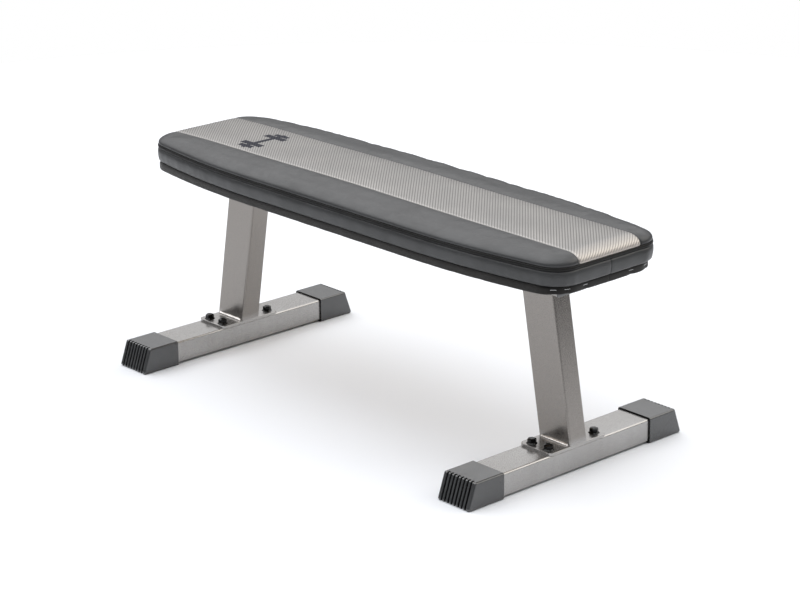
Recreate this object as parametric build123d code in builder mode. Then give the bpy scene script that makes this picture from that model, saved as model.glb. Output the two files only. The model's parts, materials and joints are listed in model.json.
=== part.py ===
"""Flat weight bench: a padded board on a rail, two leaning uprights and two cross feet.

Millimetres. +X runs along the bench to its front end, +Y across it to the left, +Z up.
The origin is on the floor under the middle of the bench.
"""

import os
from math import asin, atan2, cos, degrees, radians, sin, tan

from build123d import *

# Feet
FOOT_X = 469.0  # from the middle of the bench to the middle of a foot
FOOT_LENGTH = 500.0
TUBE_WIDTH = 75.0
TUBE_HEIGHT = 45.0
TUBE_WALL = 2.0
TUBE_CORNER = 4.0
FOOT_BOTTOM_Z = 3.0

# End caps
CAP_WIDTH = 82.0
CAP_HEIGHT = 51.0
CAP_RIM_Y = 190.0
CAP_TOP_Y = 259.0  # where the slanted end meets the top
CAP_BOTTOM_Y = 277.0  # where it meets the floor
CAP_EDGE = 4.0
CAP_BOTTOM_EDGE = 4.0
RIM_GAP = 2.0
RIM_GAP_DEPTH = 4.0
GROOVE_COUNT = 8
GROOVE_WIDTH = 4.4
GROOVE_DEPTH = 6.0
GROOVE_PITCH = 8.6
GROOVE_CUT_PAST = 10.0  # how far the cutter runs past the top and the bottom

# Base plates and their bolts
PLATE_SIZE_X = 80.0
PLATE_SIZE_Y = 146.0
PLATE_THICKNESS = 5.0
PLATE_CORNER = 10.0
PLATE_EDGE = 0.8
FOOT_BOLT_X = 42.0  # spacing
FOOT_BOLT_Y = 118.0
FOOT_BOLT_DIAMETER = 10.0
FOOT_BOLT_HOLE = 11.0
FOOT_BOLT_LENGTH = 25.0
FLANGE_DIAMETER = 21.0
FLANGE_HEIGHT = 2.4
FOOT_BOLT_HEX = 15.0  # across flats
FOOT_BOLT_HEAD = 10.0  # flange and hexagon together
HEX_CHAMFER_DOWN = 1.4
HEX_CHAMFER_IN = 2.4
WELD_NUT_HEX = 17.0
WELD_NUT_HEIGHT = 8.0

# Uprights
UPRIGHT_WIDTH = 78.5
UPRIGHT_DEPTH = 44.0
LEAN = radians(10.0)
WELD_LEG = 5.0
WELD_LENGTH = 71.0
WELD_CROWN = 0.6  # where the middle of a weld's face is, out from the corner, as a share of its leg

# Rail
RAIL_TOP_Z = 380.0
RAIL_LENGTH = 970.0
PLUG_FLANGE = 3.0
PLUG_DEPTH = 20.0
PLUG_WALL = 2.5
PLUG_CLEARANCE = 0.2

# Pad
PAD_LENGTH = 1160.0
PAD_WIDTH = 328.0
PAD_STRAIGHT = 460.0  # middle part of each side, before it starts to taper
PAD_TAPER_RADIUS = 1750.0
PAD_CORNER = 54.0
PAD_TOP_Z = 449.0
PAD_EDGE = 20.0
BOARD_THICKNESS = 12.0
BOARD_INSET = 3.0
BOARD_END_INSET = 5.0  # as well, at the two ends
BOARD_CORNER = 62.0
SKIN = 1.2
STRIP_WIDTH = 155.0
PIPING_Z = 421.0
PIPING_HEIGHT = 7.0
PIPING_PROUD = 1.5
PIPING_ROUND = 1.2
HEM = 1.0
HEM_TURN = 22.0  # the part of the hem that is turned under the board

# Staples
STAPLE_CROWN = 11.0
STAPLE_WIRE = 0.8
STAPLE_LEG = 7.0
STAPLE_INSET = 12.0
STAPLE_COUNT = 44
CORNER_STAPLE_FANS = (20.0, 44.0)  # degrees round each corner, from the end to the side
END_STAPLE_Y = (58.0,)

# Bolts between the pad and the rail
PAD_BOLT_X = (-310.0, 310.0)
PAD_BOLT_Y = (-22.0, 22.0)
PAD_BOLT_DIAMETER = 8.0
PAD_BOLT_HOLE = 9.0
PAD_BOLT_LENGTH = 55.0
PAD_BOLT_HEX = 13.0
PAD_BOLT_HEAD = 5.3
WASHER_DIAMETER = 24.0
WASHER_THICKNESS = 1.6
TEE_NUT_FLANGE = 22.0
TEE_NUT_BARREL = 11.0
TEE_NUT_PLATE = 1.5
TEE_NUT_LENGTH = 10.0

# Heights that follow from the sizes above
FOOT_TOP_Z = FOOT_BOTTOM_Z + TUBE_HEIGHT
PLATE_TOP_Z = FOOT_TOP_Z + PLATE_THICKNESS
RAIL_BOTTOM_Z = RAIL_TOP_Z - TUBE_HEIGHT
BOARD_TOP_Z = RAIL_TOP_Z + BOARD_THICKNESS
PIPING_TOP_Z = PIPING_Z + PIPING_HEIGHT

ENDS = (("front", 1), ("rear", -1))
SIDES = (("left", 1), ("right", -1))
PAD_BOLT_POINTS = [(x, y) for x in PAD_BOLT_X for y in PAD_BOLT_Y]

os.makedirs("parts", exist_ok=True)


def save(builder, name):
    """Label a finished piece and write its STEP file."""
    builder.part.label = name
    export_step(builder.part, f"parts/{name}.step")


def tube_section(width, height):
    """Section of a rectangular tube with rounded corners."""
    with BuildSketch(mode=Mode.PRIVATE) as section:
        RectangleRounded(width, height, TUBE_CORNER)
        inner = TUBE_CORNER - TUBE_WALL
        RectangleRounded(width - 2 * TUBE_WALL, height - 2 * TUBE_WALL, inner, mode=Mode.SUBTRACT)
    return section.sketch


def pad_outline(grow=0.0, end_inset=0.0, corner=PAD_CORNER):
    """Pad from above, moved outwards by grow: straight sides that taper towards rounded ends."""
    half_length = PAD_LENGTH / 2 + grow - end_inset
    half_width = PAD_WIDTH / 2 + grow
    half_straight = PAD_STRAIGHT / 2
    taper_radius = PAD_TAPER_RADIUS + grow
    taper_angle = degrees(asin((half_length - half_straight) / taper_radius))
    with BuildSketch(mode=Mode.PRIVATE) as outline:
        with BuildLine():
            side = Line((0, half_width), (half_straight, half_width))
            taper = JernArc(side @ 1, (1, 0), taper_radius, -taper_angle)
            Line(taper @ 1, (half_length, 0))
            mirror(about=Plane.XZ)
            mirror(about=Plane.YZ)
        make_face()
        corners = outline.vertices().filter_by(lambda v: abs(v.X) > half_length - 1 and abs(v.Y) > 1)
        fillet(corners, corner + grow)
    return outline.sketch


def board_outline(grow=0.0):
    """Board from above, moved outwards by grow: further in than the pad, above all at the ends."""
    return pad_outline(grow - BOARD_INSET, BOARD_END_INSET, BOARD_CORNER)


def ring(low_z, height, outer, inner):
    """Closed band between two outlines."""
    with BuildPart() as band:
        with BuildSketch(Plane.XY.offset(low_z)):
            add(outer)
            add(inner, mode=Mode.SUBTRACT)
        extrude(amount=height)
    return band.part


def pad_body(low_z, top_z, grow):
    """Solid with the pad's outline and a rounded top edge."""
    with BuildPart() as body:
        with BuildSketch(Plane.XY.offset(low_z)):
            add(pad_outline(grow))
        extrude(amount=top_z - low_z)
        fillet(body.faces().sort_by(Axis.Z)[-1].edges(), PAD_EDGE + grow)
    return body.part


def staple_at(place):
    """Staple with its crown outside the hem and its legs driven along the place's z direction."""
    with BuildPart(mode=Mode.PRIVATE) as staple:
        with Locations(place):
            Box(STAPLE_CROWN, STAPLE_WIRE, STAPLE_WIRE, align=(Align.CENTER, Align.CENTER, Align.MAX))
            with GridLocations(STAPLE_CROWN - STAPLE_WIRE, 0, 2, 1):
                Box(STAPLE_WIRE, STAPLE_WIRE, STAPLE_LEG, align=(Align.CENTER, Align.CENTER, Align.MIN))
    return staple.part


# ---------------------------------------------------------------- staples

underside_z = RAIL_TOP_Z - HEM
staple_path = board_outline(-STAPLE_INSET).wires()[0]
staple_places = []
for number in range(STAPLE_COUNT):
    share = (number + 0.5) / STAPLE_COUNT
    point = staple_path @ share
    along = staple_path % share
    turn = degrees(atan2(along.Y, along.X))
    staple_places.append(Location((point.X, point.Y, underside_z), (0, 0, turn)))

# Staples in the board's edge: some round each corner, and some along each end.
taper_centre_y = PAD_WIDTH / 2 - PAD_TAPER_RADIUS
corner_x = PAD_LENGTH / 2 - BOARD_END_INSET - BOARD_CORNER
reach = PAD_TAPER_RADIUS - BOARD_CORNER
corner_y = taper_centre_y + (reach**2 - (corner_x - PAD_STRAIGHT / 2) ** 2) ** 0.5
hem_radius = BOARD_CORNER - BOARD_INSET + HEM
edge_staple_z = RAIL_TOP_Z + BOARD_THICKNESS / 2
for _, toward_end in ENDS:
    for _, toward_side in SIDES:
        edge_staples = []
        for fan in CORNER_STAPLE_FANS:
            out_x = toward_end * cos(radians(fan))
            out_y = toward_side * sin(radians(fan))
            point_x = toward_end * corner_x + out_x * hem_radius
            point_y = toward_side * corner_y + out_y * hem_radius
            edge_staples.append((point_x, point_y, out_x, out_y))
        for end_y in END_STAPLE_Y:
            edge_staples.append((toward_end * (corner_x + hem_radius), toward_side * end_y, toward_end, 0))
        for point_x, point_y, out_x, out_y in edge_staples:
            point = (point_x, point_y, edge_staple_z)
            staple_places.append(Location(Plane(point, x_dir=(-out_y, out_x, 0), z_dir=(-out_x, -out_y, 0))))

with BuildPart() as hem_staples:
    for place in staple_places:
        add(staple_at(place))
save(hem_staples, "hem_staples")

# ---------------------------------------------------------------- pad

with BuildPart() as pad_board:
    with BuildSketch(Plane.XY.offset(RAIL_TOP_Z)):
        add(board_outline())
    extrude(amount=BOARD_THICKNESS)
    with Locations(*[(x, y, BOARD_TOP_Z) for x, y in PAD_BOLT_POINTS]):
        CounterBoreHole(TEE_NUT_BARREL / 2, TEE_NUT_FLANGE / 2, TEE_NUT_PLATE)
    add(hem_staples.part, mode=Mode.SUBTRACT)
save(pad_board, "pad_board")

with BuildPart() as foam_core:
    add(pad_body(BOARD_TOP_Z, PAD_TOP_Z - SKIN, -SKIN))
save(foam_core, "foam_core")

# The top cover is one skin with a rounded edge, cut along two seams into a strip and two panels.
with BuildPart() as top_cover:
    add(pad_body(PIPING_TOP_Z, PAD_TOP_Z, 0))
    add(foam_core.part, mode=Mode.SUBTRACT)

with BuildPart() as cover_strip:
    add(top_cover.part)
    Box(2 * PAD_LENGTH, STRIP_WIDTH, 2 * PAD_TOP_Z, mode=Mode.INTERSECT)
save(cover_strip, "cover_strip")

for side, toward_side in SIDES:
    with BuildPart() as cover_panel:
        add(top_cover.part)
        with Locations((0, toward_side * (STRIP_WIDTH + PAD_WIDTH) / 2, 0)):
            Box(2 * PAD_LENGTH, PAD_WIDTH, 2 * PAD_TOP_Z, mode=Mode.INTERSECT)
    save(cover_panel, f"cover_panel_{side}")

with BuildPart() as cover_boxing:
    add(ring(BOARD_TOP_Z, PIPING_Z - BOARD_TOP_Z, pad_outline(), pad_outline(-SKIN)))
save(cover_boxing, "cover_boxing")

with BuildPart() as cover_piping:
    add(ring(PIPING_Z, PIPING_HEIGHT, pad_outline(PIPING_PROUD), pad_outline(-SKIN)))
    for face in cover_piping.faces().filter_by(Axis.Z):
        fillet(face.outer_wire().edges(), PIPING_ROUND)
save(cover_piping, "cover_piping")

with BuildPart() as cover_hem:
    add(ring(RAIL_TOP_Z, BOARD_THICKNESS, board_outline(HEM), board_outline()))
    add(ring(RAIL_TOP_Z - HEM, HEM, board_outline(HEM), board_outline(-HEM_TURN)))
    add(hem_staples.part, mode=Mode.SUBTRACT)
save(cover_hem, "cover_hem")

with BuildPart() as tee_nuts:
    for x, y in PAD_BOLT_POINTS:
        with BuildSketch(Plane((x, y, BOARD_TOP_Z))):
            Circle(TEE_NUT_FLANGE / 2)
        extrude(amount=-TEE_NUT_PLATE)
        with BuildSketch(Plane((x, y, BOARD_TOP_Z))):
            Circle(TEE_NUT_BARREL / 2)
        extrude(amount=-TEE_NUT_LENGTH)
        with Locations((x, y, BOARD_TOP_Z)):
            Hole(PAD_BOLT_DIAMETER / 2)
save(tee_nuts, "tee_nuts")

with BuildPart() as pad_washers:
    with BuildSketch(Plane.XY.offset(RAIL_BOTTOM_Z)):
        with Locations(*PAD_BOLT_POINTS):
            Circle(WASHER_DIAMETER / 2)
            Circle(PAD_BOLT_HOLE / 2, mode=Mode.SUBTRACT)
    extrude(amount=-WASHER_THICKNESS)
save(pad_washers, "pad_washers")

with BuildPart() as pad_bolts:
    bolt_seat = Plane.XY.offset(RAIL_BOTTOM_Z - WASHER_THICKNESS)
    with BuildSketch(bolt_seat):
        with Locations(*PAD_BOLT_POINTS):
            RegularPolygon(PAD_BOLT_HEX / 2, 6, major_radius=False)
    extrude(amount=-PAD_BOLT_HEAD)
    with BuildSketch(bolt_seat):
        with Locations(*PAD_BOLT_POINTS):
            Circle(PAD_BOLT_DIAMETER / 2)
    extrude(amount=PAD_BOLT_LENGTH)
save(pad_bolts, "pad_bolts")

# ---------------------------------------------------------------- rail

with BuildPart() as rail:
    with BuildSketch(Plane.YZ.offset(-RAIL_LENGTH / 2)):
        with Locations((0, RAIL_TOP_Z - TUBE_HEIGHT / 2)):
            add(tube_section(TUBE_WIDTH, TUBE_HEIGHT))
    extrude(amount=RAIL_LENGTH)
    with Locations(*[(x, y, RAIL_TOP_Z) for x, y in PAD_BOLT_POINTS]):
        Hole(PAD_BOLT_HOLE / 2)
save(rail, "rail")

for end, toward_end in ENDS:
    tube_end = Plane(
        origin=(toward_end * RAIL_LENGTH / 2, 0, RAIL_TOP_Z - TUBE_HEIGHT / 2),
        x_dir=(0, 1, 0),
        z_dir=(toward_end, 0, 0),
    )
    spigot_width = TUBE_WIDTH - 2 * (TUBE_WALL + PLUG_CLEARANCE)
    spigot_height = TUBE_HEIGHT - 2 * (TUBE_WALL + PLUG_CLEARANCE)
    with BuildPart() as rail_plug:
        with BuildSketch(tube_end):
            RectangleRounded(TUBE_WIDTH, TUBE_HEIGHT, TUBE_CORNER)
        extrude(amount=PLUG_FLANGE)
        fillet(rail_plug.faces().sort_by(Axis.X)[-1 if toward_end > 0 else 0].edges(), PLUG_FLANGE / 2)
        with BuildSketch(tube_end):
            RectangleRounded(spigot_width, spigot_height, TUBE_CORNER - TUBE_WALL)
            Rectangle(spigot_width - 2 * PLUG_WALL, spigot_height - 2 * PLUG_WALL, mode=Mode.SUBTRACT)
            with GridLocations(spigot_width / 3, 0, 2, 1):
                Rectangle(PLUG_WALL, spigot_height)
        extrude(amount=-PLUG_DEPTH)
    save(rail_plug, f"rail_plug_{end}")

# ---------------------------------------------------------------- uprights

upright_height = RAIL_BOTTOM_Z - PLATE_TOP_Z
for end, toward_end in ENDS:
    foot_x = toward_end * FOOT_X
    leaning = Plane(
        origin=(foot_x, 0, PLATE_TOP_Z),
        x_dir=(cos(LEAN), 0, toward_end * sin(LEAN)),
        z_dir=(-toward_end * sin(LEAN), 0, cos(LEAN)),
    )
    with BuildPart() as upright:
        with BuildSketch(leaning.offset(-TUBE_WIDTH)):
            add(tube_section(UPRIGHT_WIDTH, UPRIGHT_DEPTH))
        extrude(amount=upright_height + 2 * TUBE_WIDTH)
        with Locations((foot_x, 0, PLATE_TOP_Z + upright_height / 2)):
            Box(4 * TUBE_WIDTH, 2 * UPRIGHT_DEPTH, upright_height, mode=Mode.INTERSECT)
    save(upright, f"upright_{end}")

    # Fillet welds along both wide faces, at the base plate and at the rail.
    with BuildPart() as upright_welds:
        for seat_z, outward in ((PLATE_TOP_Z, 1), (RAIL_BOTTOM_Z, -1)):
            weld_x = foot_x - toward_end * (seat_z + outward * WELD_LEG / 2 - PLATE_TOP_Z) * tan(LEAN)
            with BuildSketch(Plane.YZ.offset(weld_x)):
                for _, toward_side in SIDES:
                    wall_y = toward_side * UPRIGHT_DEPTH / 2
                    with BuildLine():
                        toe = (wall_y + toward_side * WELD_LEG, seat_z)
                        tip = (wall_y, seat_z + outward * WELD_LEG)
                        crown_out = WELD_CROWN * WELD_LEG
                        crown = (wall_y + toward_side * crown_out, seat_z + outward * crown_out)
                        Polyline(tip, (wall_y, seat_z), toe)
                        ThreePointArc(toe, crown, tip)
                    make_face()
            extrude(amount=WELD_LENGTH / 2, both=True)
    save(upright_welds, f"upright_welds_{end}")

# ---------------------------------------------------------------- feet

for end, toward_end in ENDS:
    foot_x = toward_end * FOOT_X
    plate_plane = Plane((foot_x, 0, FOOT_TOP_Z))
    bolt_plane = Plane((foot_x, 0, PLATE_TOP_Z))
    tube_plane = Plane((foot_x, 0, FOOT_BOTTOM_Z + TUBE_HEIGHT / 2), x_dir=(1, 0, 0), z_dir=(0, 1, 0))

    with BuildPart() as base_plate:
        with BuildSketch(plate_plane):
            RectangleRounded(PLATE_SIZE_X, PLATE_SIZE_Y, PLATE_CORNER)
            with GridLocations(FOOT_BOLT_X, FOOT_BOLT_Y, 2, 2):
                Circle(FOOT_BOLT_HOLE / 2, mode=Mode.SUBTRACT)
        extrude(amount=PLATE_THICKNESS)
        fillet(base_plate.faces().sort_by(Axis.Z)[-1].outer_wire().edges(), PLATE_EDGE)
    save(base_plate, f"base_plate_{end}")

    with BuildPart() as foot_tube:
        with BuildSketch(tube_plane):
            add(tube_section(TUBE_WIDTH, TUBE_HEIGHT))
        extrude(amount=FOOT_LENGTH / 2, both=True)
        with BuildSketch(plate_plane):
            with GridLocations(FOOT_BOLT_X, FOOT_BOLT_Y, 2, 2):
                Circle(FOOT_BOLT_HOLE / 2)
        extrude(amount=-2 * TUBE_WALL, mode=Mode.SUBTRACT)
    save(foot_tube, f"foot_tube_{end}")

    with BuildPart() as foot_bolts:
        with BuildSketch(bolt_plane):
            with GridLocations(FOOT_BOLT_X, FOOT_BOLT_Y, 2, 2):
                RegularPolygon(FOOT_BOLT_HEX / 2, 6, major_radius=False)
        extrude(amount=FOOT_BOLT_HEAD)
        chamfer(foot_bolts.faces().sort_by(Axis.Z)[-4:].edges(), HEX_CHAMFER_DOWN, HEX_CHAMFER_IN)
        with Locations(bolt_plane):
            with GridLocations(FOOT_BOLT_X, FOOT_BOLT_Y, 2, 2):
                Cone(
                    FLANGE_DIAMETER / 2,
                    FLANGE_DIAMETER / 2 - FLANGE_HEIGHT,
                    FLANGE_HEIGHT,
                    align=(Align.CENTER, Align.CENTER, Align.MIN),
                )
        with BuildSketch(bolt_plane):
            with GridLocations(FOOT_BOLT_X, FOOT_BOLT_Y, 2, 2):
                Circle(FOOT_BOLT_DIAMETER / 2)
        extrude(amount=-FOOT_BOLT_LENGTH)
    save(foot_bolts, f"foot_bolts_{end}")

    with BuildPart() as weld_nuts:
        with BuildSketch(plate_plane.offset(-TUBE_WALL)):
            with GridLocations(FOOT_BOLT_X, FOOT_BOLT_Y, 2, 2):
                RegularPolygon(WELD_NUT_HEX / 2, 6, major_radius=False)
                Circle(FOOT_BOLT_DIAMETER / 2, mode=Mode.SUBTRACT)
        extrude(amount=-WELD_NUT_HEIGHT)
    save(weld_nuts, f"weld_nuts_{end}")

# ---------------------------------------------------------------- end caps

slant_run = (CAP_BOTTOM_Y - CAP_TOP_Y) / CAP_HEIGHT
groove_shift = GROOVE_DEPTH / cos(atan2(slant_run, 1))
cut_run = GROOVE_CUT_PAST * slant_run

for end, toward_end in ENDS:
    for side, toward_side in SIDES:
        foot_x = toward_end * FOOT_X
        across = Plane((foot_x, 0, 0), x_dir=(0, toward_side, 0), z_dir=(toward_side, 0, 0))
        along = Plane(
            (foot_x, toward_side * CAP_RIM_Y, FOOT_BOTTOM_Z + TUBE_HEIGHT / 2),
            x_dir=(1, 0, 0),
            z_dir=(0, toward_side, 0),
        )
        with BuildPart() as foot_cap:
            with BuildSketch(across):
                with BuildLine():
                    Polyline(
                        (CAP_RIM_Y, 0),
                        (CAP_BOTTOM_Y, 0),
                        (CAP_TOP_Y, CAP_HEIGHT),
                        (CAP_RIM_Y, CAP_HEIGHT),
                        close=True,
                    )
                make_face()
            extrude(amount=CAP_WIDTH / 2, both=True)
            rim_face = foot_cap.faces().filter_by(Axis.Y)[0]
            floor_face = foot_cap.faces().sort_by(Axis.Z)[0]
            outer_edges = foot_cap.edges() - rim_face.edges() - floor_face.edges()
            fillet(outer_edges, CAP_EDGE)
            floor_edges = foot_cap.faces().sort_by(Axis.Z)[0].edges()
            fillet(floor_edges.filter_by(lambda edge: abs((edge @ 0.5).Y) > CAP_RIM_Y + 1), CAP_BOTTOM_EDGE)
            for number in range(GROOVE_COUNT):
                groove_x = (number - (GROOVE_COUNT - 1) / 2) * GROOVE_PITCH
                with BuildSketch(across.offset(groove_x)):
                    with BuildLine():
                        low_y = CAP_BOTTOM_Y + cut_run
                        high_y = CAP_TOP_Y - cut_run
                        Polyline(
                            (low_y - groove_shift, -GROOVE_CUT_PAST),
                            (low_y + GROOVE_CUT_PAST, -GROOVE_CUT_PAST),
                            (high_y + GROOVE_CUT_PAST, CAP_HEIGHT + GROOVE_CUT_PAST),
                            (high_y - groove_shift, CAP_HEIGHT + GROOVE_CUT_PAST),
                            close=True,
                        )
                    make_face()
                extrude(amount=GROOVE_WIDTH / 2, both=True, mode=Mode.SUBTRACT)
            with BuildSketch(along):
                RectangleRounded(TUBE_WIDTH, TUBE_HEIGHT, TUBE_CORNER)
            extrude(amount=FOOT_LENGTH / 2 - CAP_RIM_Y, mode=Mode.SUBTRACT)
            with BuildSketch(along):
                RectangleRounded(TUBE_WIDTH + 2 * RIM_GAP, TUBE_HEIGHT + 2 * RIM_GAP, TUBE_CORNER + RIM_GAP)
            extrude(amount=RIM_GAP_DEPTH, mode=Mode.SUBTRACT)
        save(foot_cap, f"foot_cap_{end}_{side}")
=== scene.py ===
"""Looks of a flat weight bench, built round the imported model. Metres.

+X runs along the bench to its front end, +Y across it to the left, +Z up, with the floor at 0.
"""

import json
from math import asin, atan2, cos, pi, radians, sin, sqrt

import bmesh
import bpy
import numpy as np
from mathutils import Matrix, Vector
from mathutils.bvhtree import BVHTree


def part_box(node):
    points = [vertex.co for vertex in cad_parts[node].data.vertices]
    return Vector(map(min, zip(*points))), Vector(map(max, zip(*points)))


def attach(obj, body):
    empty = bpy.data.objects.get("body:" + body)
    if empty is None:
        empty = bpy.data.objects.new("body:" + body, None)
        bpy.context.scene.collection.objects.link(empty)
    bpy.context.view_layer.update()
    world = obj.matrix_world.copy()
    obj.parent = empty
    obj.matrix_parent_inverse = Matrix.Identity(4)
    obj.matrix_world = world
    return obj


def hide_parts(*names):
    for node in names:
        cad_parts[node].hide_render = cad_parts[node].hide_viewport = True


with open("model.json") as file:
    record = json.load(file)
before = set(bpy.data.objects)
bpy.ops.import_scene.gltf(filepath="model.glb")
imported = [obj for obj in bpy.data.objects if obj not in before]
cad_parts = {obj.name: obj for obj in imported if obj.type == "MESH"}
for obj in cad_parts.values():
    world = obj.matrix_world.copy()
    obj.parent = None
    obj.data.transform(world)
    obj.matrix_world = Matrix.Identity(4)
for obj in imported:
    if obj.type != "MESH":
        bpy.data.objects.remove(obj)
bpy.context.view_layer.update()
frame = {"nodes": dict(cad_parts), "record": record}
scene = bpy.context.scene

# ---------------------------------------------------------------- sizes

boxing_low, boxing_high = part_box("cover_boxing")
strip_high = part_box("cover_strip")[1]
board_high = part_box("pad_board")[1]
PIPING_LOW, PIPING_HIGH = (corner.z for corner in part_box("cover_piping"))
HALF_LENGTH = boxing_high.x
HALF_WIDTH = boxing_high.y
BOARD_TOP = boxing_low.z
TOP_Z = strip_high.z
STRIP_HALF = strip_high.y
SKIN = 0.0012
HALF_STRAIGHT = 0.230  # half the straight part of each side, before it tapers
TAPER_RADIUS = 1.750
CORNER_RADIUS = 0.054
BOARD_CORNER = 0.059
CAP_SLANT = 0.018  # how far the end of a foot cap leans in over its height
FULLNESS = 0.0020  # how far the front corners swell
REAR_INSET = 0.005  # how far the rear end is drawn in
DRAWN_LENGTH = 0.30  # and over what length
STATION = 0.0025  # spacing round the pad's outline

# Cross-section of the cushion. Offsets are outwards from the outline.
SEAM_Z = (PIPING_LOW + PIPING_HIGH) / 2
TOP_SEAM_Z = PIPING_HIGH - 0.0008
WIDEST_Z = PIPING_HIGH + 0.0030  # the widest place of the top, just over the piping
SEAM_IN = 0.0036  # how far the piping's seam is pulled in
ROLL_SIDE = 0.040  # how far in the top edge keeps curving, along the sides and at the ends
ROLL_END = 0.031
PANEL_FLAT = HALF_WIDTH - ROLL_SIDE - STRIP_HALF
CROWN = 0.0036  # fall of the side panels from the strip to the rolled edge
MIDDLE_RISE = 0.0026  # how much higher the top stands half way along than near the ends
MIDDLE_X = -0.03
MIDDLE_REACH = 0.20
REAR_FALL = 0.0045  # how far it drops at the rear end
FALL_FROM_X = -0.42
FALL_LENGTH = 0.16

# Ribs of the centre strip
RIB_STEPS = 6
STRIP_ROWS = 132
RIB_HEIGHT = 0.00055
RIB_SHAPE = 0.8  # below 1 makes the ribs wider than the gaps

# Sewn groove between the strip and the panels
GROOVE_DEPTH = 0.0019
GROOVE_WIDTH = 0.0017
PULL_DEPTH = 0.0006
PULL_WIDTH = 0.006

# ---------------------------------------------------------------- outline of the pad


def drawn_in(x, inset):
    """Positions along the bench, with the rear end drawn in."""
    return x + inset * np.clip((-x - HALF_STRAIGHT) / DRAWN_LENGTH, 0, 1)


def lengthwise_crown(points):
    """Rise of the cushion's top at each point, from its middle to its ends."""
    x, z = points[..., 0], points[..., 2]
    rise = MIDDLE_RISE * np.exp(-(((x - MIDDLE_X) / MIDDLE_REACH) ** 2))
    rise -= REAR_FALL * np.clip((FALL_FROM_X - x) / FALL_LENGTH, 0, 1) ** 1.5
    return rise * np.clip((z - WIDEST_Z) / (TOP_Z - WIDEST_Z), 0, 1)


class Outline:
    """Straight sides that taper towards two ends with rounded corners."""

    def __init__(self, half_length, half_width, taper_radius, corner_radius, fullness=0.0, inset=0.0):
        self.fullness, self.inset = fullness, inset
        self.half_length, self.half_width = half_length, half_width
        self.taper_radius, self.corner_radius = taper_radius, corner_radius
        self.taper_y = half_width - taper_radius
        self.corner_x = half_length - corner_radius
        across = sqrt((taper_radius - corner_radius) ** 2 - (self.corner_x - HALF_STRAIGHT) ** 2)
        self.corner_y = self.taper_y + across
        self.taper_angle = atan2(across, self.corner_x - HALF_STRAIGHT)
        self.end_run = self.corner_y
        self.corner_run = self.end_run + corner_radius * self.taper_angle
        self.taper_run = self.corner_run + taper_radius * (pi / 2 - self.taper_angle)
        self.quarter = self.taper_run + HALF_STRAIGHT

    def at(self, run):
        """Points and outward directions, at distances run from the middle of the front end."""
        run = np.asarray(run, float) % (4 * self.quarter)
        quarter = np.minimum((run / self.quarter).astype(int), 3)
        along = run - quarter * self.quarter
        along = np.where(quarter % 2 == 1, self.quarter - along, along)
        corner = (along - self.end_run) / self.corner_radius
        taper = self.taper_angle + (along - self.corner_run) / self.taper_radius
        zones = [along <= self.end_run, along <= self.corner_run, along <= self.taper_run]
        round_x = self.corner_x + self.corner_radius * np.cos(corner)
        round_y = self.corner_y + self.corner_radius * np.sin(corner)
        side_x = HALF_STRAIGHT + self.taper_radius * np.cos(taper)
        side_y = self.taper_y + self.taper_radius * np.sin(taper)
        x = np.select(zones, [self.half_length, round_x, side_x], HALF_STRAIGHT - (along - self.taper_run))
        y = np.select(zones, [along, round_y, side_y], self.half_width)
        out_x = np.select(zones, [1.0, np.cos(corner), np.cos(taper)], 0.0)
        out_y = np.select(zones, [0.0, np.sin(corner), np.sin(taper)], 1.0)
        sign_x = np.where((quarter == 1) | (quarter == 2), -1.0, 1.0)
        sign_y = np.where(quarter >= 2, -1.0, 1.0)
        points = np.stack([drawn_in(x * sign_x, self.inset), y * sign_y], -1)
        outwards = np.stack([out_x * sign_x, out_y * sign_y], -1)
        fullness = self.fullness * (sign_x > 0) * np.clip(2 * out_x * out_y, 0, 1)
        return points + outwards * fullness[:, None], outwards


pad = Outline(HALF_LENGTH, HALF_WIDTH, TAPER_RADIUS, CORNER_RADIUS, FULLNESS, REAR_INSET)
board = Outline(board_high.x, board_high.y, TAPER_RADIUS - (HALF_WIDTH - board_high.y), BOARD_CORNER)
QUARTER = pad.quarter


def dense_near(runs, whole, centres, offsets):
    """Adds stations close to the centres, and drops those that they replace."""
    extra = np.concatenate([centre + offsets for centre in centres]) % whole
    reach = max(offsets)
    keep = np.ones(len(runs), bool)
    for centre in centres:
        keep &= np.abs(ring_gap(runs, whole, centre)) > reach * 1.2
    return np.sort(np.concatenate([runs[keep], extra]))


def ring_gap(runs, whole, centre):
    """Distance along a closed outline of length whole from centre."""
    return (runs - centre + whole / 2) % whole - whole / 2


def ring_runs(shape):
    """Stations all round an outline, closer together at the joins in the middle of each end."""
    whole = 4 * shape.quarter
    count = int(whole / STATION)
    runs = np.arange(count) * (whole / count)
    near = np.array([0.3, 0.7, 1.2, 1.9, 2.9, 4.2]) / 1000
    return dense_near(runs, whole, (0.0, whole / 2), np.concatenate([-near, [0.0], near]))


def join_gap(runs, shape):
    """Distance from the nearer of the two joins."""
    whole = 4 * shape.quarter
    return np.minimum(np.abs(ring_gap(runs, whole, 0.0)), np.abs(ring_gap(runs, whole, whole / 2)))


def corner_share(outwards):
    """1 in the middle of each rounded corner, 0 along the sides and ends."""
    return np.clip(2 * np.abs(outwards[..., 0] * outwards[..., 1]), 0, 1)


def place(points, outwards, offset, z):
    """Grid of points: one row for each (offset, z), one column for each station."""
    offset, z = np.broadcast_arrays(np.asarray(offset, float), np.asarray(z, float))
    if offset.ndim == 1:
        offset, z = offset[:, None], z[:, None]
    grid = np.empty((offset.shape[0], len(points), 3))
    grid[..., :2] = points[None] + outwards[None] * offset[..., None]
    grid[..., 2] = z
    return grid


# ---------------------------------------------------------------- meshes


def linked(name, data):
    """New object in the scene, for a mesh, light or camera."""
    piece = bpy.data.objects.new(name, data)
    scene.collection.objects.link(piece)
    return piece


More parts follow.
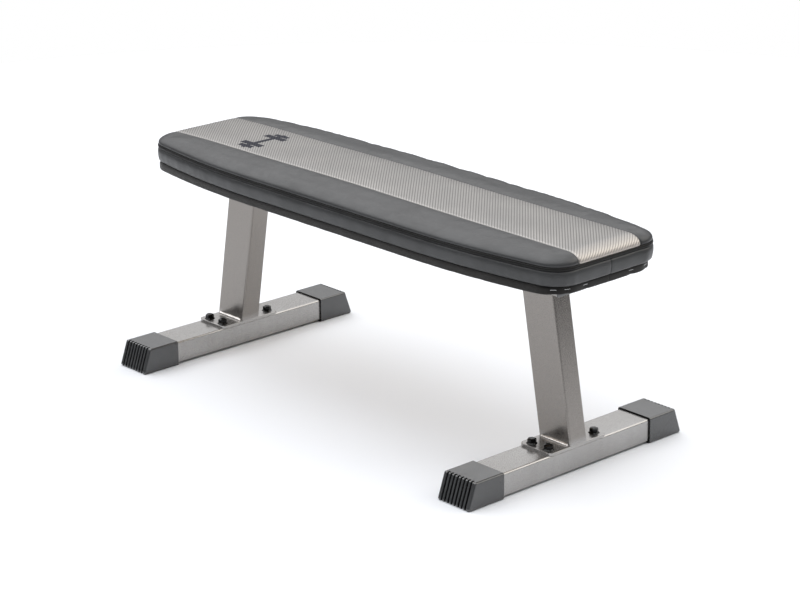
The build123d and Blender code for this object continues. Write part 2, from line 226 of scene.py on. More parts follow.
def quads(grid, wrap=False, flip=False, start=0):
    """Faces between the points of a grid, whose first point has the number start."""
    rows, columns = grid.shape[:2]
    number = start + np.arange(rows * columns).reshape(rows, columns)
    if wrap:
        number = np.concatenate([number, number[:, :1]], 1)
    a, b, c, d = number[:-1, 1:], number[1:, 1:], number[1:, :-1], number[:-1, :-1]
    return np.stack([a, d, c, b] if flip else [a, b, c, d], -1).reshape(-1, 4).tolist()


def clean(mesh, merge=0.0, turn_out=False):
    """Merges points closer than merge, and turns all faces outwards."""
    work = bmesh.new()
    work.from_mesh(mesh)
    if merge:
        bmesh.ops.remove_doubles(work, verts=work.verts, dist=merge)
    if turn_out:
        bmesh.ops.recalc_face_normals(work, faces=work.faces)
    work.to_mesh(mesh)
    work.free()


def grid_mesh(name, grid, wrap=False, flip=False, merge=0.0, attribute=None):
    """Object whose mesh joins a grid of points into quads, smooth shaded."""
    mesh = bpy.data.meshes.new(name)
    mesh.from_pydata(grid.reshape(-1, 3).tolist(), [], quads(grid, wrap, flip))
    if attribute is not None:
        layer = mesh.attributes.new(attribute[0], "FLOAT", "POINT")
        layer.data.foreach_set("value", attribute[1].reshape(-1).astype(np.float32))
    if merge:
        clean(mesh, merge)
    mesh.shade_smooth()
    return linked(name, mesh)


def join_grids(name, grids, wrap=False):
    """Object made of several grids of quads."""
    points, faces = [], []
    for grid in grids:
        faces += quads(grid, wrap, start=len(points))
        points += grid.reshape(-1, 3).tolist()
    mesh = bpy.data.meshes.new(name)
    mesh.from_pydata(points, [], faces)
    clean(mesh, 1e-5, turn_out=True)
    mesh.shade_smooth()
    return linked(name, mesh)


def thicken(piece, thickness=SKIN):
    """Gives a skin its thickness, inwards."""
    solid = piece.modifiers.new("thickness", "SOLIDIFY")
    solid.thickness = thickness
    solid.offset = -1.0


# ---------------------------------------------------------------- cushion, inflated as cloth

START_IN = 0.002  # how much smaller the body is before it is inflated
START_LOW = 0.003
VOXEL = 0.005
CLOTH_FRAMES = 20
SWELL_LIMIT = 0.0036  # the furthest that the cloth may move


def roll_reach(outwards):
    """How far in the top edge keeps curving at each station."""
    share = outwards[..., 0] ** 2
    return ROLL_SIDE + (ROLL_END - ROLL_SIDE) * share


def cushion_form():
    """Closed body of the cushion, a little smaller than it will be, before it is inflated."""
    runs = np.arange(0, 4 * QUARTER, 0.006)
    points, outwards = pad.at(runs)
    reach = roll_reach(outwards)
    low = [(-0.010, BOARD_TOP + 0.0005), (-0.003, BOARD_TOP + 0.003), (0.0, BOARD_TOP + 0.009)]
    low += [(0.0005, BOARD_TOP + 0.018), (-0.001, PIPING_LOW - 0.002), (-0.0025, SEAM_Z)]
    offsets = [np.full(len(runs), offset - START_IN) for offset, _ in low]
    heights = [np.full(len(runs), z) for _, z in low]
    top = TOP_Z - START_LOW
    for turn in np.radians(np.arange(0, 91, 10)):
        offsets.append(-START_IN - reach * (1 - cos(turn)))
        heights.append(np.full(len(runs), WIDEST_Z + (top - WIDEST_Z) * sin(turn)))
    grid = place(points, outwards, np.stack(offsets), np.stack(heights))
    rows, columns = grid.shape[:2]
    number = np.arange(rows * columns).reshape(rows, columns)
    caps = [number[0, ::-1].tolist(), number[-1].tolist()]
    mesh = bpy.data.meshes.new("cushion_form")
    mesh.from_pydata(grid.reshape(-1, 3).tolist(), [], quads(grid, wrap=True) + caps)
    clean(mesh, turn_out=True)
    return mesh


def inflated_cushion(frames):
    """Voxel remesh of the body, blown up as cloth that is held at its bottom and along the seam."""
    body = linked("cushion", cushion_form())
    remesh = body.modifiers.new("remesh", "REMESH")
    remesh.mode = "VOXEL"
    remesh.voxel_size = VOXEL
    graph = bpy.context.evaluated_depsgraph_get()
    mesh = bpy.data.meshes.new_from_object(body.evaluated_get(graph))
    body.modifiers.clear()
    body.data = mesh
    rest = np.empty(len(mesh.vertices) * 3)
    mesh.vertices.foreach_get("co", rest)
    rest = rest.reshape(-1, 3)
    if frames:
        held = body.vertex_groups.new(name="held")
        seam = np.exp(-(((rest[:, 2] - SEAM_Z) / 0.0035) ** 2))
        floor = np.where(rest[:, 2] < BOARD_TOP + 0.004, 1.0, 0.0)
        strip_edges = 0.55 * np.exp(-(((np.abs(rest[:, 1]) - STRIP_HALF) / 0.005) ** 2))
        strip_edges *= rest[:, 2] > WIDEST_Z
        for index, weight in enumerate(np.maximum(np.maximum(seam, floor), strip_edges)):
            if weight > 0.02:
                held.add([index], float(weight), "REPLACE")
        cloth = body.modifiers.new("cloth", "CLOTH")
        settings = cloth.settings
        settings.quality = 4
        settings.mass = 0.4
        settings.tension_stiffness = 12
        settings.compression_stiffness = 12
        settings.shear_stiffness = 6
        settings.bending_stiffness = 0.6
        settings.shrink_min = -0.012
        settings.use_pressure = True
        settings.uniform_pressure_force = 4
        settings.vertex_group_mass = "held"
        settings.pin_stiffness = 1.0
        settings.effector_weights.gravity = 0
        cloth.collision_settings.use_collision = False
        for number in range(1, frames + 1):
            scene.frame_set(number)
        graph = bpy.context.evaluated_depsgraph_get()
        swollen = np.empty(len(mesh.vertices) * 3)
        body.evaluated_get(graph).data.vertices.foreach_get("co", swollen)
        body.modifiers.clear()
        scene.frame_set(1)
        move = swollen.reshape(-1, 3) - rest
        far = np.linalg.norm(move, axis=1, keepdims=True)
        capped = SWELL_LIMIT * np.tanh(far / SWELL_LIMIT)
        move *= np.where(far > 1e-9, capped / np.maximum(far, 1e-9), 0)
        mesh.vertices.foreach_set("co", (rest + move).reshape(-1))
        mesh.update()
    return body


def smooth_grid(grid, passes, wrap):
    """Blurs a grid of numbers."""
    for _ in range(passes):
        if wrap:
            grid = (np.roll(grid, 1, 1) + 2 * grid + np.roll(grid, -1, 1)) / 4
        else:
            side = np.pad(grid, ((0, 0), (1, 1)), "edge")
            grid = (side[:, :-2] + 2 * side[:, 1:-1] + side[:, 2:]) / 4
        ends = np.pad(grid, ((1, 1), (0, 0)), "edge")
        grid = (ends[:-2] + 2 * ends[1:-1] + ends[2:]) / 4
    return grid


cushion = inflated_cushion(CLOTH_FRAMES)
cushion_tree = BVHTree.FromObject(cushion, bpy.context.evaluated_depsgraph_get())


def swell(grid, normals, passes=3, wrap=False, low=-0.0014, high=0.0010):
    """How far the inflated cushion stands from each point of a grid, along its normal."""
    reach = 0.012  # how far off the rays start
    moved = np.zeros(grid.shape[:2])
    for row in range(grid.shape[0]):
        for column in range(grid.shape[1]):
            normal = Vector(normals[row, column])
            start = Vector(grid[row, column]) + normal * reach
            hit = cushion_tree.ray_cast(start, -normal, 2 * reach)
            if hit[0] is not None:
                moved[row, column] = reach - hit[3]
    return smooth_grid(np.clip(moved, low, high), passes, wrap)


def wrinkles(x, y, size):
    """Soft, shallow folds in the vinyl, deeper in patches. The waves are in radians for each metre."""
    patch = 0.5 + 0.5 * np.sin(7.3 * x + 1.9) * np.sin(23.0 * y + 4.1 * x + 0.7)
    folds = np.sin(61.0 * x + 148.0 * y + 2.2 * np.sin(17.0 * x))
    folds += 0.7 * np.sin(-83.0 * x + 117.0 * y + 1.7 * np.sin(29.0 * x + 1.3))
    folds += 0.5 * np.sin(37.0 * x - 71.0 * y + 0.4)
    return size * patch**2 * folds


# ---------------------------------------------------------------- top panels

LOW_TURNS = np.radians([90.0, 62.0, 38.0, 18.0])
TOP_TURNS = np.radians(np.concatenate([[0, 5], np.arange(11, 91, 6.6)]))
FOLD_DEPTH = 0.00022
FLAT_SHARES = np.array([0.12, 0.25, 0.38, 0.5, 0.62, 0.73, 0.82, 0.885, 0.93, 0.96, 0.98, 1.0])


def roll_rows(reach, fall):
    """Offset, height and the two parts of the normal for each row of the rolled edge, from the seam up."""
    offsets, heights, normal_out, normal_up = [], [], [], []
    zero, one = np.zeros_like(reach), np.ones_like(reach)
    for turn in LOW_TURNS:
        offsets.append(one * -SEAM_IN * (1 - cos(turn)))
        heights.append(one * (WIDEST_Z - (WIDEST_Z - TOP_SEAM_Z) * sin(turn)))
        normal_out.append(one)
        normal_up.append(zero)
    rise = TOP_Z - fall - WIDEST_Z
    for turn in TOP_TURNS:
        offsets.append(-reach * (1 - cos(turn)))
        heights.append(WIDEST_Z + rise * sin(turn))
        out, up = rise * cos(turn), reach * sin(turn)
        length = np.hypot(out, up)
        normal_out.append(out / length)
        normal_up.append(up / length)
    return tuple(np.stack(rows) for rows in (offsets, heights, normal_out, normal_up))


def seam_dip(distance):
    """Depth of the sewn groove at a distance from a seam, with the wide, shallow pull beside it."""
    groove = GROOVE_DEPTH * np.exp(-((distance / GROOVE_WIDTH) ** 2))
    return groove + PULL_DEPTH * np.exp(-((distance / PULL_WIDTH) ** 2))


def top_panel(name, side):
    """Vinyl panel beside the strip: rolled outer edge, then flat to the sewn groove."""
    start = pad.end_run + CORNER_RADIUS * asin(max(STRIP_HALF - pad.corner_y, 0) / CORNER_RADIUS)
    start += min(STRIP_HALF - pad.corner_y, 0)
    near = np.array([0, 0.5, 1.0, 1.6, 2.3, 3.2, 4.4]) / 1000
    middle = np.arange(start + 0.0065, 2 * QUARTER - start - 0.0055, STATION)
    runs = np.concatenate([start + near, middle, (2 * QUARTER - start - near)[::-1]])
    points, outwards = pad.at(runs)
    reach = roll_reach(outwards)
    inner_y = points[:, 1] - outwards[:, 1] * reach
    fall = CROWN * np.clip((inner_y - STRIP_HALF) / PANEL_FLAT, 0, 1)
    offsets, heights, out, up = roll_rows(reach, fall)
    roll = place(points, outwards, offsets, heights)
    normals = np.empty_like(roll)
    normals[..., :2] = outwards[None] * out[..., None]
    normals[..., 2] = up
    roll[:, 0, 1] = roll[:, -1, 1] = STRIP_HALF
    inner = roll[-1]
    flat = np.empty((len(FLAT_SHARES), len(runs), 3))
    spread = np.clip((inner[:, 1] - STRIP_HALF) / (pad.corner_y - STRIP_HALF), 0, 1)
    flat[..., 0] = inner[None, :, 0] * (1 - 0.006 * spread[None] * FLAT_SHARES[:, None])
    flat[..., 1] = inner[None, :, 1] + (STRIP_HALF - inner[None, :, 1]) * FLAT_SHARES[:, None]
    flat[..., 2] = TOP_Z - fall[None] * (1 - FLAT_SHARES[:, None])
    grid = np.concatenate([roll, flat])
    normals = np.concatenate([normals, np.broadcast_to([0.0, 0.0, 1.0], flat.shape)])
    move = swell(grid, normals)
    tucked = len(LOW_TURNS)
    move[:tucked] = move[tucked]
    folds = wrinkles(grid[..., 0] + 0.31 * side, grid[..., 1], FOLD_DEPTH)
    move += folds * np.clip(normals[..., 2] * 1.5, 0, 1)
    move -= seam_dip(grid[..., 1] - STRIP_HALF) * (grid[..., 2] > WIDEST_Z - 0.001)
    grid = grid + normals * move[..., None]
    grid[..., 2] += lengthwise_crown(grid)
    grid[..., 1] *= side
    return grid_mesh(name, grid, flip=side < 0, merge=0.00004)


panels = {}
for panel_side, sign in (("left", 1), ("right", -1)):
    panel = top_panel(f"pad_panel_{panel_side}", sign)
    thicken(panel)
    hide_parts(f"cover_panel_{panel_side}")
    panels[panel_side] = panel

# ---------------------------------------------------------------- ribbed strip


def end_roll():
    """Distance along the end roll from the seam, with its offset, height and normal."""
    turns = np.concatenate([-LOW_TURNS, np.radians(np.arange(0, 90.1, 1.5))])
    offset = np.where(turns < 0, -SEAM_IN * (1 - np.cos(turns)), -ROLL_END * (1 - np.cos(turns)))
    depth = np.where(turns < 0, WIDEST_Z - TOP_SEAM_Z, TOP_Z - WIDEST_Z)
    height = WIDEST_Z + depth * np.sin(turns)
    run = np.concatenate([[0], np.cumsum(np.hypot(np.diff(offset), np.diff(height)))])
    out = np.where(turns < 0, 1.0, (TOP_Z - WIDEST_Z) * np.cos(turns))
    up = np.where(turns < 0, 0.0, ROLL_END * np.sin(turns))
    length = np.hypot(out, up)
    return run, offset, height, out / length, up / length


def ribbed_strip():
    """Centre strip with its diagonal ribs, from seam to seam."""
    step = 2 * STRIP_HALF / STRIP_ROWS
    run, offset, height, out, up = end_roll()
    flat_half = HALF_LENGTH - ROLL_END
    total = 2 * (run[-1] + flat_half)
    count = int(total / step)
    along = (np.arange(count + 1) - count / 2) * step
    along[0], along[-1] = -total / 2, total / 2
    inside = np.clip(total / 2 - np.abs(along), 0, run[-1])
    direction = np.sign(along)
    rolled = np.abs(along) > flat_half
    x = np.where(rolled, direction * (HALF_LENGTH + np.interp(inside, run, offset)), along)
    z = np.where(rolled, np.interp(inside, run, height), TOP_Z)
    normal_x = np.where(rolled, direction * np.interp(inside, run, out), 0.0)
    normal_z = np.where(rolled, np.interp(inside, run, up), 1.0)
    across = (np.arange(STRIP_ROWS + 1) - STRIP_ROWS / 2) * step
    grid = np.empty((len(across), len(along), 3))
    grid[..., 0], grid[..., 1], grid[..., 2] = drawn_in(x, REAR_INSET)[None], across[:, None], z[None]
    normals = np.zeros_like(grid)
    normals[..., 0], normals[..., 2] = normal_x[None], normal_z[None]
    normals /= np.linalg.norm(normals, axis=2, keepdims=True)

    # The swelling is soft, so it is measured on a coarse grid, which is closer near the two ends.
    tail, last = 60, len(along) - 1
    coarse_rows = np.arange(0, len(across), 6)
    middle = np.arange(tail, last + 1 - tail, 9)
    ends = np.concatenate([np.arange(0, tail, 3), np.arange(last + 1 - tail, last + 1, 3), [last]])
    coarse_columns = np.unique(np.concatenate([middle, ends]))
    chosen = np.ix_(coarse_rows, coarse_columns)
    coarse = swell(grid[chosen], normals[chosen], 2)
    rows = np.stack([np.interp(along, along[coarse_columns], line) for line in coarse])
    move = np.stack([np.interp(across, across[coarse_rows], rows[:, j]) for j in range(len(along))], 1)

    edge = STRIP_HALF - np.abs(across)[:, None]
    phase = (np.abs(along.min()) + along[None] + across[:, None]) / (RIB_STEPS * step)
    rib = (0.5 + 0.5 * np.cos(2 * pi * phase)) ** RIB_SHAPE
    from_end = total / 2 - np.abs(along)[None]
    flatten = np.clip(edge / 0.004, 0, 1) * np.clip((from_end - 0.004) / 0.006, 0, 1)
    move = move + RIB_HEIGHT * (rib - 1.0) * flatten
    move -= seam_dip(edge)
    grid = grid + normals * move[..., None]
    grid[..., 2] += lengthwise_crown(grid)
    return grid_mesh("pad_strip", grid, attribute=("rib", rib * flatten + 0.5 * (1 - flatten)))


strip = ribbed_strip()
thicken(strip)
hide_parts("cover_strip")

# ---------------------------------------------------------------- boxing, piping and hem

pad_runs = ring_runs(pad)
ring_points, ring_outwards = pad.at(pad_runs)
corners = corner_share(ring_outwards)
ends = ring_outwards[:, 0] ** 2
pad_join = join_gap(pad_runs, pad)
join_dip = 0.0014 * np.exp(-((pad_join / 0.0009) ** 2)) + 0.0004 * np.exp(-((pad_join / 0.004) ** 2))

BOXING = (
    # offset from the outline, depth under the piping
    (-0.0075, -0.0004),
    (-0.0042, -0.0002),
    (-0.0018, 0.0005),
    (-0.0002, 0.0019),
    (0.0008, 0.0040),
    (0.0015, 0.0070),
    (0.0018, 0.0105),
    (0.0018, 0.0145),
    (0.0015, 0.0185),
    (0.0010, 0.0220),
    (0.0004, 0.0250),
    (-0.0006, 0.0272),
    (-0.0024, 0.0284),
    (-0.0050, 0.0288),
    (-0.0090, 0.0288),
    (-0.0140, 0.0288),
)
PUCKER_PITCH = 0.021


def boxing_band():
    """Vinyl band round the side of the cushion, joined in the middle of each end."""
    shape = np.array(BOXING)
    depth = np.clip(shape[:, 1] / 0.029, 0, 1)[:, None]
    offsets = shape[:, :1] - (0.0012 * corners + 0.0004 * ends) * depth**2.5
    heights = PIPING_LOW - shape[:, 1:] + 0.0008 * corners * depth**3
    grid = place(ring_points, ring_outwards, offsets, heights)
    normals = np.zeros_like(grid)
    normals[..., :2] = ring_outwards[None]
    move = swell(grid, normals, passes=4, wrap=True, low=-0.0015, high=0.0015)
    row = np.arange(len(shape))
    open_rows = np.clip(np.minimum(row - 1, len(shape) - 3 - row) / 3, 0, 1)
    around = 0.00025 * np.sin(pad_runs * 52 + 1.2 * np.sin(pad_runs * 19))
    around += 0.0002 * np.sin(pad_runs * 131 + 2.0)
    puckers = 0.0007 * np.sin(pad_runs * 2 * pi / PUCKER_PITCH + 0.8 * np.sin(pad_runs * 37)) * corners
    move = move * 0.6 + (around[None] + puckers[None] * depth) * open_rows[:, None]
    move -= join_dip[None]
    grid = grid + normals * move[..., None]
    return grid_mesh("pad_boxing", grid, wrap=True, flip=True)


boxing = boxing_band()
thicken(boxing)
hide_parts("cover_boxing")


STITCH_PITCH = 0.0045


def piping_cord():
    """Thin covered cord in the seam between the top and the boxing."""
    turns = np.radians(np.arange(0, 360, 30))
    gathers = 0.00007 * np.cos(pad_runs * 2 * pi / STITCH_PITCH)
    half_height = (PIPING_HIGH - PIPING_LOW) / 2 + 0.0002 + gathers
    half_depth = 0.0026 + gathers
    centre_off = -0.0024 - 0.0003 * ends
    wander = 0.00015 * np.sin(pad_runs * 43 + 0.5)
    grid = np.empty((len(turns) + 1, len(pad_runs), 3))
    for row, turn in enumerate([*turns, turns[0]]):
        offset = centre_off + half_depth * cos(turn)
        grid[row, :, :2] = ring_points + ring_outwards * offset[:, None]
        grid[row, :, 2] = SEAM_Z + half_height * sin(turn) + wander
    return join_grids("pad_piping", [grid], wrap=True)


piping = piping_cord()
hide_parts("cover_piping")


def staple_centres():
    """Middle of each staple, from the separate parts of its CAD node."""
    work = bmesh.new()
    work.from_mesh(frame["nodes"]["hem_staples"].data)
    bmesh.ops.remove_doubles(work, verts=work.verts, dist=1e-6)
    seen, centres = set(), []
    for first in work.verts:
        waiting, island = [first], []
        while waiting:
            vertex = waiting.pop()
            if vertex not in seen:
                seen.add(vertex)
                island.append(vertex.co.copy())
                waiting += [link.other_vert(vertex) for link in vertex.link_edges]
        if island:
            centres.append(sum(island, Vector()) / len(island))
    work.free()
    return np.array(centres)


HEM_THICKNESS = 0.0007
HEM = (
    # offset from the board's outline, depth under the board's top
    (-0.0070, -0.0003),
    (-0.0030, -0.0003),
    (-0.0002, -0.0003),
    (0.0007, 0.0006),
    (0.0010, 0.0030),
    (0.0010, 0.0060),
    (0.0010, 0.0090),
    (0.0009, 0.0110),
    (0.0004, 0.0123),
    (-0.0008, 0.0129),
    (-0.0026, 0.0130),
    (-0.0055, 0.0130),
    (-0.0090, 0.0130),
    (-0.0120, 0.0130),
    (-0.0150, 0.0130),
    (-0.0185, 0.0130),
    (-0.0220, 0.0128),
)
PLEAT_PITCH = 0.0085


def hem_band():
    """Black cloth round the board's edge, turned under it and pulled tight by the staples."""
    shape = np.array(HEM)
    runs = ring_runs(board)
    points, outwards = board.at(runs)
    corners = corner_share(outwards)
    joined = 0.0005 * np.exp(-((join_gap(runs, board) / 0.0009) ** 2))
    grid = place(points, outwards, shape[:, :1], BOARD_TOP - shape[:, 1:])
    under = np.clip((-0.001 - shape[:, 0]) / 0.004, 0, 1)[:, None] * (shape[:, 1] > 0.011)[:, None]
    edge = (shape[:, 1] > 0.002)[:, None] * (1 - under)
    gap = np.full(grid.shape[:2], 1.0)
    for centre in staple_centres():
        gap = np.minimum(gap, np.linalg.norm(grid - centre, axis=2))
    loose = 1 - np.exp(-((gap / 0.0075) ** 2))
    wave = 0.5 + 0.5 * np.sin(runs * 83 + 1.5 * np.sin(runs * 31))
    pleats = np.abs(np.sin(runs * pi / PLEAT_PITCH)) ** 3 * corners
    inward = np.clip((-shape[:, :1] - 0.001) / 0.020, 0, 1)
    sag = 0.0022 * np.clip((shape[:, 1:] - 0.008) / 0.005, 0, 1)
    grid[..., 2] -= loose * (sag + under * (0.0003 + 0.0004 * wave + 0.0012 * pleats * inward))
    lower = np.clip(shape[:, 1:] / 0.012, 0, 1)
    swellings = edge * (0.0012 + 0.0004 * wave + 0.0005 * pleats * lower) * loose
    grid[..., :2] += outwards[None] * (swellings - joined[None] * edge)[..., None]
    ragged = 0.0006 * np.sin(runs * 211) + 0.0009 * np.sin(runs * 67 + 0.9)
    grid[-1, :, :2] += outwards * ragged[:, None]
    return grid_mesh("pad_hem", grid, wrap=True, flip=True)


hem = hem_band()
thicken(hem, HEM_THICKNESS)
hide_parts("cover_hem")

# The foam keeps the inflated form, a skin's thickness inside the cover.
foam_points = np.array([v.co for v in cushion.data.vertices])
foam_normals = np.array([v.normal for v in cushion.data.vertices])
foam_in = 0.0026 + 0.0045 * np.exp(-(((foam_points[:, 2] - SEAM_Z) / 0.008) ** 2))
foam_points -= foam_normals * foam_in[:, None]
foam_fall = np.clip((np.abs(foam_points[:, 1]) - STRIP_HALF) / PANEL_FLAT, 0, 1)
foam_fall *= np.clip((foam_points[:, 2] - WIDEST_Z) / (TOP_Z - WIDEST_Z), 0, 1)
foam_points[:, 2] -= (CROWN + 0.0006) * foam_fall
foam_points[:, 2] += lengthwise_crown(foam_points)
foam_points[:, 2] = np.maximum(foam_points[:, 2], BOARD_TOP + 0.0002)
cushion.data.vertices.foreach_set("co", foam_points.reshape(-1))
cushion.data.update()
cushion.data.shade_smooth()
cushion.name = cushion.data.name = "pad_foam"
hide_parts("foam_core")

# ---------------------------------------------------------------- weld beads

BEAD_LEG = 0.0052
BEAD_LENGTH = 0.071
BEAD_PITCH = 0.0030


def weld_bead(x_low, x_high, wall_y, seat_z, out_y, out_z, seed):
    """One rippled fillet bead along X, in the corner between a wall and a seat."""
    count = 110
    along = np.linspace(0, 1, count)
    x = x_low + (x_high - x_low) * along
    length = x_high - x_low
    taper = np.clip(np.minimum(along, 1 - along) * length / 0.004, 0, 1) ** 0.5
    weave = 0.10 * np.sin(along * length / 0.011 + seed) + 0.07 * np.sin(along * length / 0.0046 + 2 * seed)
    turns = np.radians(np.linspace(-8, 98, 12))
    grid = np.empty((len(turns), count, 3))
    for row, turn in enumerate(turns):
        across = (turn - pi / 4) / (pi / 4)
        ripple = ((along * length / BEAD_PITCH + 0.35 * across**2 + 0.13 * seed) % 1.0) ** 0.6
        leg = BEAD_LEG * (0.86 + weave + 0.13 * ripple) * (0.35 + 0.65 * taper)
        bulge = 1.0 - 0.16 * np.cos(pi / 4 * across * 1.1)
        reach = leg * bulge
        grid[row, :, 0] = x
        grid[row, :, 1] = wall_y + out_y * reach * cos(turn)
        grid[row, :, 2] = seat_z + out_z * reach * sin(turn)
    hidden = np.empty((2, count, 3))
    hidden[:, :, 0] = x
    hidden[0, :, 1], hidden[0, :, 2] = grid[-1, :, 1], grid[-1, :, 2]
    hidden[1, :, 1], hidden[1, :, 2] = wall_y - out_y * 0.001, seat_z - out_z * 0.001
    closed = np.concatenate([grid, hidden[1:], grid[:1]])
    tips = np.mean(closed[:-1, [0, -1]], axis=0)
    first = np.broadcast_to(tips[0], (len(closed), 1, 3))
    last = np.broadcast_to(tips[1], (len(closed), 1, 3))
    return np.concatenate([first, closed, last], 1)


welds = {}
for end in ("front", "rear"):
    weld_low, weld_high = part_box(f"upright_welds_{end}")
    upright_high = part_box(f"upright_{end}")[1]
    plate_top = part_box(f"base_plate_{end}")[1].z
    rail_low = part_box("rail")[0].z
    toward = 1 if end == "front" else -1
    low_end = (weld_low.x, weld_low.x + BEAD_LENGTH)
    high_end = (weld_high.x - BEAD_LENGTH, weld_high.x)
    outer, inner = (high_end, low_end) if toward > 0 else (low_end, high_end)
    grids = []
    for seat, seat_x, up in ((plate_top, outer, 1), (rail_low, inner, -1)):
        for out in (1, -1):
            seed = 1.7 * (up + 2) + 0.9 * out + 0.4 * toward
            grids.append(weld_bead(*seat_x, out * upright_high.y, seat, out, up, seed))
    bead = join_grids(f"weld_beads_{end}", grids)
    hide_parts(f"upright_welds_{end}")
    welds[end] = bead

# ---------------------------------------------------------------- materials


class Graph:
    """A node tree and short ways to add nodes to it."""

    def __init__(self, tree):
        self.tree = tree

    def add(self, kind, **settings):
        node = self.tree.nodes.new(kind)
        for name, value in settings.items():
            setattr(node, name, value)
        return node

    def put(self, socket, value):
        if isinstance(value, bpy.types.NodeSocket):
            self.tree.links.new(value, socket)
        else:
            socket.default_value = value

    def math(self, operation, a, b=0.0):
        node = self.add("ShaderNodeMath", operation=operation)
        self.put(node.inputs[0], a)
        self.put(node.inputs[1], b)
        return node.outputs[0]

    def span(self, value, low, high, to_low=0.0, to_high=1.0):
        node = self.add("ShaderNodeMapRange")
        limits = {"From Min": low, "From Max": high, "To Min": to_low, "To Max": to_high}
        for name, number in limits.items():
            node.inputs[name].default_value = number
        self.put(node.inputs["Value"], value)
        return node.outputs[0]

    def mix(self, share, a, b):
        node = self.add("ShaderNodeMix", data_type="RGBA")
        self.put(node.inputs[0], share)
        for socket, value in ((node.inputs[6], a), (node.inputs[7], b)):
            self.put(socket, (*value, 1.0) if isinstance(value, tuple) else value)
        return node.outputs[2]

    def dot(self, a, b):
        node = self.add("ShaderNodeVectorMath", operation="DOT_PRODUCT")
        self.put(node.inputs[0], a)
        self.put(node.inputs[1], b)
        return node.outputs["Value"]

    def split(self, vector):
        node = self.add("ShaderNodeSeparateXYZ")
        self.put(node.inputs[0], vector)
        return node.outputs


class Look(Graph):
    """A material, whose patterns follow the place in the frame, in metres."""

    def __init__(self, name, roughness=0.5, metallic=0.0, **constants):
        self.material = bpy.data.materials.new(name)
        self.material.use_nodes = True
        super().__init__(self.material.node_tree)
        self.shader = self.tree.nodes["Principled BSDF"]
        self.shader.inputs["Roughness"].default_value = roughness
        self.shader.inputs["Metallic"].default_value = metallic
        for socket, value in constants.items():
            self.shader.inputs[socket.replace("_", " ")].default_value = value
        self.place = self.add("ShaderNodeTexCoord").outputs["Object"]

    def texture(self, node, vector=None, **inputs):
        for name, value in inputs.items():
            node.inputs[name].default_value = value
        self.put(node.inputs["Vector"], vector or self.place)
        return node.outputs

    def stretch(self, scale, rotation=(0, 0, 0)):
        return self.texture(self.add("ShaderNodeMapping"), Scale=scale, Rotation=rotation)[0]

    def noise(self, scale, detail=3.0, roughness=0.5, distortion=0.0, vector=None):
        node = self.add("ShaderNodeTexNoise")
        settings = {"Scale": scale, "Detail": detail, "Roughness": roughness, "Distortion": distortion}
        return self.texture(node, vector, **settings)["Fac"]

    def cells(self, scale):
        return self.texture(self.add("ShaderNodeTexVoronoi"), Scale=scale)["Distance"]

    def bands(self, direction, vector=None, **inputs):
        node = self.add("ShaderNodeTexWave", wave_type="BANDS", bands_direction=direction)
        return self.texture(node, vector, **inputs)["Fac"]

    def bump(self, height, distance, strength=1.0, normal=None):
        node = self.add("ShaderNodeBump")
        node.inputs["Strength"].default_value = strength
        node.inputs["Distance"].default_value = distance
        self.put(node.inputs["Height"], height)
        if normal is not None:
            self.put(node.inputs["Normal"], normal)
        return node.outputs[0]

    def edges(self, radius):
        """About 1 on sharp edges, 0 on open faces."""
        bevel = self.add("ShaderNodeBevel", samples=4)
        bevel.inputs["Radius"].default_value = radius
        facing = self.dot(bevel.outputs[0], self.add("ShaderNodeNewGeometry").outputs["Normal"])
        return self.span(facing, 0.995, 0.80)

    def finish(self, color=None, roughness=None, normal=None, metallic=None):
        values = {"Base Color": color, "Roughness": roughness, "Normal": normal, "Metallic": metallic}
        for name, value in values.items():
            if value is not None:
                self.put(self.shader.inputs[name], value)
        return self.material


def gray(value, warm=0.0):
    """Linear colour from an 8-bit grey, with a little warmth."""
    linear = (value / 255) ** 2.2
    return (linear * (1 + warm), linear, linear * (1 - warm))


def vinyl_look(name, tone, warm, roughness, shine):
    """Grained vinyl with fine creases."""
    look = Look(name, Specular_IOR_Level=shine)
    grain = look.cells(620.0)
    pores = look.noise(1400.0, 2.0)
    creases = look.noise(38.0, 5.0, 0.62, 0.6)
    cloud = look.noise(9.0, 3.0, 0.5)
    shade = look.span(cloud, 0.3, 0.7)
    color = look.mix(shade, gray(tone - 4, warm), gray(tone + 5, warm))
    color = look.mix(look.span(grain, 0.0, 0.5, 0.35, 0.0), color, gray(tone - 16, warm))
    rough = look.span(creases, 0.3, 0.7, roughness - 0.05, roughness + 0.07)
    rough = look.math("ADD", rough, look.span(pores, 0, 1, -0.03, 0.03))
    normal = look.bump(grain, 0.00028, 0.55)
    normal = look.bump(creases, 0.0009, 0.35, normal)
    return look.finish(color, rough, normal)


MARK_X, MARK_Y = -0.358, -0.010
MARK_BARS = (
    # a dumbbell's bar and its two pairs of weights: middle in Y, half size in Y, half size in X
    (0.0, 0.056, 0.0060),
    (0.030, 0.0078, 0.030),
    (0.0462, 0.0060, 0.020),
)
PAINTED_HIGHLIGHT_X = (0.552, 0.578)  # where the strip bends over the front end, and carries a painted highlight on its ribs
